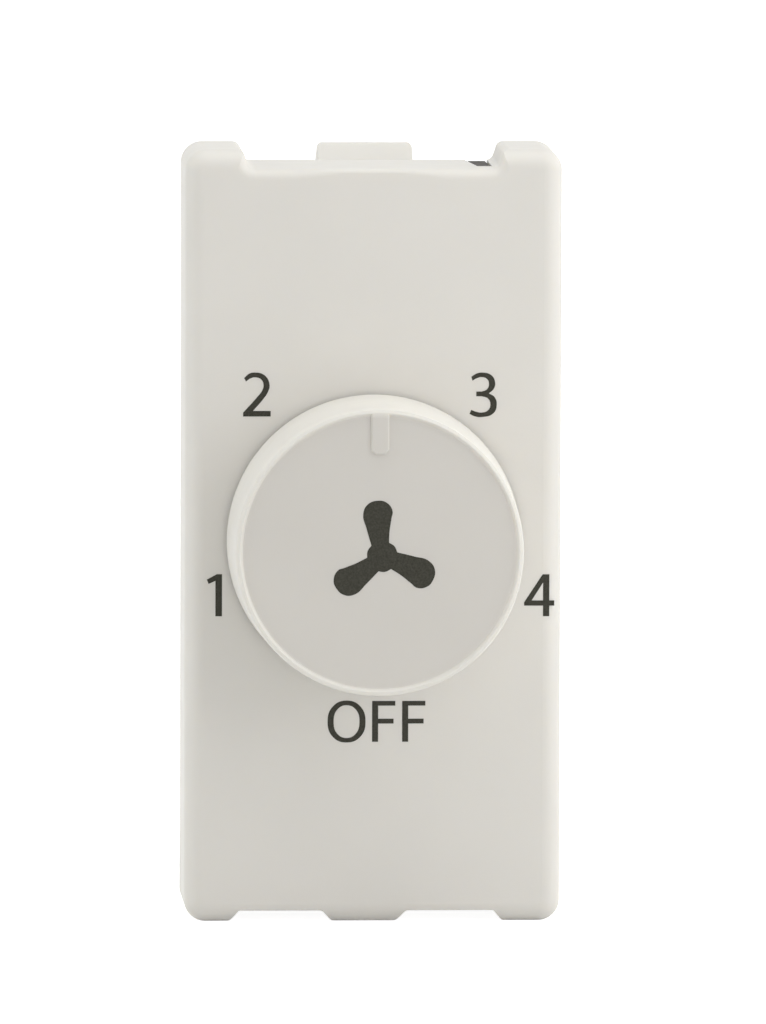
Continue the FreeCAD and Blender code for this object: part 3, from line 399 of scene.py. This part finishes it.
def fibre_sheet():
    """Red-brown vulcanised fibre of the insulating barrier."""
    finish = Finish("fibre_sheet", (0.38, 0.16, 0.09), 0.7)
    strands = finish.noise(0.6 * MM, 6.0, finish.stretched((0.4, 1.0, 3.0)))
    finish.mottle(strands, 0.18)
    finish.gloss(strands, 0.6, 0.8)
    finish.relief(strands, 0.01 * MM)
    return finish.material


def lay_bands(finish, place, bands):
    """Sharp bands of colour along a part. Those in the colour of tin are metal: its leads or end caps."""
    metal = [(start, WHITE if colour == TIN else BLACK) for start, colour in bands]
    finish.join(finish.ramp(place, bands, sharp=True), "Base Color")
    finish.join(finish.ramp(place, metal, sharp=True), "Metallic")


def capacitor_case():
    """Grey cast case of a film capacitor, with tinned leads in front of it."""
    finish = Finish("capacitor_case", CAPACITOR_GREY, 0.4)
    lay_bands(finish, finish.along("Y", 0.0, 10.0 * MM), [(0.0, TIN), (0.375, CAPACITOR_GREY)])
    finish.gloss(finish.noise(0.7 * MM), 0.3, 0.5)
    finish.relief(finish.noise(0.3 * MM, 4.0), 0.01 * MM)
    return finish.material


def resistor_lacquer():
    """Grey-green lacquer with value rings, between tinned leads."""
    finish = Finish("resistor_lacquer", LACQUER_GREEN, 0.35)
    bands = [(0.0, TIN), (0.167, LACQUER_GREEN)]
    for start, ring in RINGS:
        bands += [(start, ring), (start + RING_LENGTH, LACQUER_GREEN)]
    bands.append((0.833, TIN))
    lay_bands(finish, finish.along("X", -6.0 * MM, 6.0 * MM), bands)
    finish.gloss(finish.noise(0.4 * MM), 0.25, 0.42)
    finish.relief(finish.noise(0.5 * MM), 0.012 * MM)
    return finish.material


def chip_resistor_ceramic():
    """Black glaze of a chip resistor between tinned ends."""
    finish = Finish("chip_resistor_ceramic", CHIP_GLAZE, 0.3)
    lay_bands(finish, finish.along("X", -2.0 * MM, 2.0 * MM), [(0.0, TIN), (0.226, CHIP_GLAZE), (0.774, TIN)])
    finish.gloss(finish.noise(0.2 * MM), 0.22, 0.4)
    finish.relief(finish.noise(0.12 * MM), 0.004 * MM)
    return finish.material


def dress_frame(frame):
    """Gives every part of the switch its finish."""
    finishes = {
        "phenolic": phenolic(),
        "board_laminate": board_laminate(),
        "fibre_sheet": fibre_sheet(),
        "capacitor_case": capacitor_case(),
        "resistor_lacquer": resistor_lacquer(),
        "chip_resistor_ceramic": chip_resistor_ceramic(),
    }
    for row in MOULDINGS:
        finishes[row[0]] = moulded_plastic(*row)
    for row in METALS:
        finishes[row[0]] = worked_metal(*row)
    for entry in frame["record"]["subparts"]:
        node = frame["nodes"][entry["node"]]
        for slot in node.material_slots:
            slot.material = finishes[entry["material_slot"]]


def drawn_shape(name, outlines, unit, half_thickness):
    """A thin flat mesh inside closed outlines; an outline within another is a hole. It lies in XY."""
    curve = bpy.data.curves.new(name, "CURVE")
    curve.dimensions = "2D"
    curve.fill_mode = "BOTH"
    curve.extrude = half_thickness
    curve.resolution_u = CURVE_STEPS
    for outline in outlines:
        spline = curve.splines.new("BEZIER")
        spline.bezier_points.add(len(outline) - 1)
        spline.use_cyclic_u = True
        for point, (across, up, kind) in zip(spline.bezier_points, outline):
            point.co = (across * unit, up * unit, 0.0)
            handle = "VECTOR" if kind == "c" else "AUTO"
            point.handle_left_type = handle
            point.handle_right_type = handle
    drawing = bpy.data.objects.new(name, curve)
    bpy.context.scene.collection.objects.link(drawing)
    bpy.context.view_layer.update()
    shaped = drawing.evaluated_get(bpy.context.evaluated_depsgraph_get())
    mesh = bpy.data.meshes.new_from_object(shaped)
    bpy.data.objects.remove(drawing)
    return mesh


def printed_mark(name, outlines, unit, spot, body, ink):
    """Ink on a face that looks to the front. The outlines' origin comes to the spot."""
    mesh = drawn_shape(name, outlines, unit, INK_HALF_THICKNESS)
    mesh.transform(Matrix.Translation(spot) @ Matrix.Rotation(math.pi / 2, 4, "X"))
    build = bmesh.new()
    build.from_mesh(mesh)
    bmesh.ops.remove_doubles(build, verts=build.verts, dist=INK_MERGE_DISTANCE)
    bmesh.ops.recalc_face_normals(build, faces=build.faces)
    build.to_mesh(mesh)
    build.free()
    mesh.materials.clear()
    mesh.materials.append(ink)
    piece = bpy.data.objects.new(name, mesh)
    bpy.context.scene.collection.objects.link(piece)
    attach(piece, body)


def turned_point(across, up, degrees):
    """A point turned anticlockwise about the hub."""
    angle = math.radians(degrees)
    return across * math.cos(angle) - up * math.sin(angle), across * math.sin(angle) + up * math.cos(angle)


def fan_symbol_outline():
    """Three blades round a hub, drawn clockwise as one outline."""
    step = 360.0 / FAN_BLADE_COUNT
    right_foot = math.degrees(math.atan2(FAN_BLADE[-1][1], FAN_BLADE[-1][0]))
    next_left_foot = math.degrees(math.atan2(FAN_BLADE[0][1], FAN_BLADE[0][0])) - step
    hub_point = turned_point(FAN_HUB_RADIUS, 0.0, (right_foot + next_left_foot) / 2)
    outline = []
    for blade in range(FAN_BLADE_COUNT):
        for across, up, kind in FAN_BLADE + [(*hub_point, "s")]:
            outline.append((*turned_point(across, up, -step * blade), kind))
    return outline


def print_marks(ink):
    """The speed numbers and OFF on the cover, and the fan symbol on the knob."""
    cover_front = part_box("front_cover")[0].y
    for name, outlines, left, foot in COVER_MARKS:
        printed_mark(name, outlines, HUNDREDTH, Vector((left * MM, cover_front, foot * MM)), "case", ink)
    spot = FAN_SPOT + Vector((0.0, KNOB_FACE, 0.0))
    printed_mark("printed_fan_symbol", [fan_symbol_outline()], MM, spot, "dial", ink)


def by_ray(tree, *kinds):
    """1 for any of these kinds of ray, 0 for others."""
    path = tree.nodes.new("ShaderNodeLightPath")
    total = path.outputs[kinds[0]]
    for kind in kinds[1:]:
        node = tree.nodes.new("ShaderNodeMath")
        node.operation = "MAXIMUM"
        tree.links.new(total, node.inputs[0])
        tree.links.new(path.outputs[kind], node.inputs[1])
        total = node.outputs[0]
    return total


def surroundings():
    """A white room: soft fill on the switch, plain white behind it."""
    world = bpy.data.worlds.new("white_room")
    bpy.context.scene.world = world
    world.use_nodes = True
    tree = world.node_tree
    background = tree.nodes["Background"]
    background.inputs["Color"].default_value = (1.0, 1.0, 1.0, 1.0)
    strength = tree.nodes.new("ShaderNodeMapRange")
    strength.inputs["To Min"].default_value = ROOM_FILL
    strength.inputs["To Max"].default_value = 1.0
    seen = by_ray(tree, "Is Camera Ray", "Is Glossy Ray", "Is Transmission Ray")
    tree.links.new(seen, strength.inputs["Value"])
    tree.links.new(strength.outputs["Result"], background.inputs["Strength"])


def white_floor(low):
    """A wide pale floor that keeps the shadow, reads as white and is clear when it is seen from below."""
    build = bmesh.new()
    bmesh.ops.create_grid(build, x_segments=1, y_segments=1, size=FLOOR_HALF_WIDTH)
    bmesh.ops.translate(build, verts=build.verts, vec=(0.0, 0.0, low))
    mesh = bpy.data.meshes.new("floor")
    build.to_mesh(mesh)
    build.free()
    finish = bpy.data.materials.new("white_floor")
    finish.use_nodes = True
    tree = finish.node_tree
    shader = tree.nodes["Principled BSDF"]
    shader.inputs["Base Color"].default_value = (0.8, 0.8, 0.8, 1.0)
    shader.inputs["Roughness"].default_value = 0.9
    shader.inputs["Specular IOR Level"].default_value = 0.1
    shader.inputs["Emission Color"].default_value = (1.0, 1.0, 1.0, 1.0)
    strength = tree.nodes.new("ShaderNodeMath")
    strength.operation = "MULTIPLY"
    strength.inputs[1].default_value = FLOOR_GLOW
    seen = by_ray(tree, "Is Camera Ray", "Is Glossy Ray", "Is Transmission Ray")
    tree.links.new(seen, strength.inputs[0])
    tree.links.new(strength.outputs[0], shader.inputs["Emission Strength"])
    from_below = tree.nodes.new("ShaderNodeNewGeometry")
    see_through = tree.nodes.new("ShaderNodeBsdfTransparent")
    sides = tree.nodes.new("ShaderNodeMixShader")
    tree.links.new(from_below.outputs["Backfacing"], sides.inputs["Fac"])
    tree.links.new(shader.outputs["BSDF"], sides.inputs[1])
    tree.links.new(see_through.outputs["BSDF"], sides.inputs[2])
    tree.links.new(sides.outputs["Shader"], tree.nodes["Material Output"].inputs["Surface"])
    mesh.materials.append(finish)
    floor = bpy.data.objects.new("floor", mesh)
    bpy.context.scene.collection.objects.link(floor)


def lamp(name, spot, size, watts, colour):
    """A square soft lamp that faces the switch."""
    data = bpy.data.lights.new(name, "AREA")
    data.shape = "SQUARE"
    data.size = size
    data.energy = watts
    data.color = colour
    made = bpy.data.objects.new(name, data)
    made.location = spot
    made.rotation_mode = "QUATERNION"
    made.rotation_quaternion = (-Vector(spot)).to_track_quat("-Z", "Y")
    bpy.context.scene.collection.objects.link(made)


def camera():
    """The photograph's point of view: nearly square from the front, a little from above and the left."""
    azimuth = math.radians(CAMERA_AZIMUTH)
    elevation = math.radians(CAMERA_ELEVATION)
    back = Vector((
        math.sin(azimuth) * math.cos(elevation),
        -math.cos(azimuth) * math.cos(elevation),
        math.sin(elevation),
    ))
    data = bpy.data.cameras.new("camera")
    data.lens = CAMERA_LENS
    data.sensor_width = 36.0
    data.clip_start = 0.1
    data.clip_end = 20.0
    made = bpy.data.objects.new("camera", data)
    made.location = CAMERA_AIM + back * CAMERA_DISTANCE
    turn = (-back).to_track_quat("-Z", "Y").to_matrix().to_4x4()
    roll = Matrix.Rotation(math.radians(CAMERA_ROLL), 4, "Z")
    made.rotation_euler = (turn @ roll).to_euler()
    bpy.context.scene.collection.objects.link(made)
    bpy.context.scene.camera = made


def main():
    for leftover in list(bpy.data.objects):
        bpy.data.objects.remove(leftover)
    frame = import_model()
    cad_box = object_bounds()
    dress_frame(frame)
    print_marks(printing_ink())
    white_floor(cad_box[0].z - FLOOR_GAP)
    surroundings()
    for one in LAMPS:
        lamp(*one)
    camera()
    bpy.context.scene.view_settings.view_transform = "Standard"


main()
